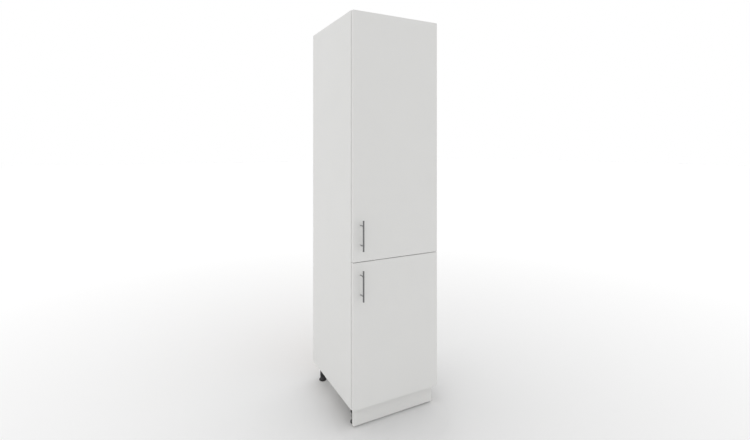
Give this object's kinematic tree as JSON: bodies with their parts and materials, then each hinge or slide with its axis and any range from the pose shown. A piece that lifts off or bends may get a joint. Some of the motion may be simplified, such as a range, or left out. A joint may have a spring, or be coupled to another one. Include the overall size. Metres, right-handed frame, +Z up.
{
  "type": "tall pantry cabinet",
  "caption": "Tall narrow white pantry cabinet with a long slab door over a shorter one, steel bar handles, concealed hinges, shelves, a set-back plinth and adjustable legs.",
  "frame": {"origin": "on the floor, under the middle of the overall box, handles counted", "axes": "+X to the right seen from the front, +Y to the back (the doors face -Y), +Z up"},
  "size_m": [0.5, 0.5995, 2.05],
  "materials": {
    "white_board": "satin white melamine on chipboard",
    "white_hardboard": "white face on thin hardboard",
    "handle_steel": "brushed stainless steel",
    "hinge_steel": "nickel-plated steel",
    "black_plastic": "black moulded plastic",
    "clear_bumper": "clear soft plastic"
  },
  "bodies": {
    "carcass": {"bottom_panel": "white_board", "leg_sockets": "black_plastic", "lower_back": "white_hardboard", "lower_hinge_arms": "hinge_steel", "lower_hinge_plates": "hinge_steel", "lower_shelf": "white_board", "middle_shelf": "white_board", "rear_rail_bottom": "white_board", "rear_rail_middle": "white_board", "rear_rail_top": "white_board", "shelf_pins": "hinge_steel", "side_panel_left": "white_board", "side_panel_right": "white_board", "top_panel": "white_board", "upper_back": "white_hardboard", "upper_hinge_arms": "hinge_steel", "upper_hinge_plates": "hinge_steel", "upper_shelf_1": "white_board", "upper_shelf_2": "white_board", "upper_shelf_3": "white_board"},
    "upper_outer_links": {"upper_outer_links": "hinge_steel"},
    "upper_door": {"upper_door": "white_board", "upper_door_bumpers": "clear_bumper", "upper_handle_bar": "handle_steel", "upper_handle_posts": "handle_steel", "upper_hinge_cups": "hinge_steel"},
    "upper_inner_links": {"upper_inner_links": "hinge_steel"},
    "lower_outer_links": {"lower_outer_links": "hinge_steel"},
    "lower_door": {"lower_door": "white_board", "lower_door_bumpers": "clear_bumper", "lower_handle_bar": "handle_steel", "lower_handle_posts": "handle_steel", "lower_hinge_cups": "hinge_steel"},
    "lower_inner_links": {"lower_inner_links": "hinge_steel"},
    "plinth": {"plinth": "white_board", "plinth_clips": "black_plastic"},
    "foot_front_left": {"foot_front_left": "black_plastic"},
    "foot_front_right": {"foot_front_right": "black_plastic"},
    "foot_rear_left": {"foot_rear_left": "black_plastic"},
    "foot_rear_right": {"foot_rear_right": "black_plastic"}
  },
  "joints": [
    {"name": "upper_outer_link_swing", "type": "hinge", "parent": "carcass", "child": "upper_outer_links", "pos_m": [0.2141, -0.25555, 0.922], "axis": [0, 0, 1], "range_deg": [-16.2, 0]},
    {"name": "upper_door_swing", "type": "hinge", "parent": "upper_outer_links", "child": "upper_door", "pos_m": [0.2376, -0.25565, 0.922], "axis": [0, 0, 1], "range_deg": [0, 111.15]},
    {"name": "upper_inner_link_swing", "type": "hinge", "parent": "carcass", "child": "upper_inner_links", "pos_m": [0.2141, -0.24355, 0.922], "axis": [0, 0, 1], "range_deg": [-36.2, 0]},
    {"name": "lower_outer_link_swing", "type": "hinge", "parent": "carcass", "child": "lower_outer_links", "pos_m": [0.2141, -0.25555, 0.202], "axis": [0, 0, 1], "range_deg": [-16.2, 0]},
    {"name": "lower_door_swing", "type": "hinge", "parent": "lower_outer_links", "child": "lower_door", "pos_m": [0.2376, -0.25565, 0.202], "axis": [0, 0, 1], "range_deg": [0, 111.15]},
    {"name": "lower_inner_link_swing", "type": "hinge", "parent": "carcass", "child": "lower_inner_links", "pos_m": [0.2141, -0.24355, 0.202], "axis": [0, 0, 1], "range_deg": [-36.2, 0]},
    {"name": "foot_front_left_screw", "type": "slide", "parent": "carcass", "child": "foot_front_left", "axis": [0, 0, -1], "range_m": [0, 0.03]},
    {"name": "foot_front_right_screw", "type": "slide", "parent": "carcass", "child": "foot_front_right", "axis": [0, 0, -1], "range_m": [0, 0.03]},
    {"name": "foot_rear_left_screw", "type": "slide", "parent": "carcass", "child": "foot_rear_left", "axis": [0, 0, -1], "range_m": [0, 0.03]},
    {"name": "foot_rear_right_screw", "type": "slide", "parent": "carcass", "child": "foot_rear_right", "axis": [0, 0, -1], "range_m": [0, 0.03]},
    {"name": "plinth_pull", "type": "slide", "parent": "carcass", "child": "plinth", "axis": [0, -1, 0], "range_m": [0, 0.12]}
  ],
  "couplings": [
    {"joint": "upper_outer_link_swing", "follows": "upper_door_swing", "ratio": -0.1453},
    {"joint": "upper_inner_link_swing", "follows": "upper_door_swing", "ratio": -0.32479},
    {"joint": "lower_outer_link_swing", "follows": "lower_door_swing", "ratio": -0.1453},
    {"joint": "lower_inner_link_swing", "follows": "lower_door_swing", "ratio": -0.32479}
  ]
}
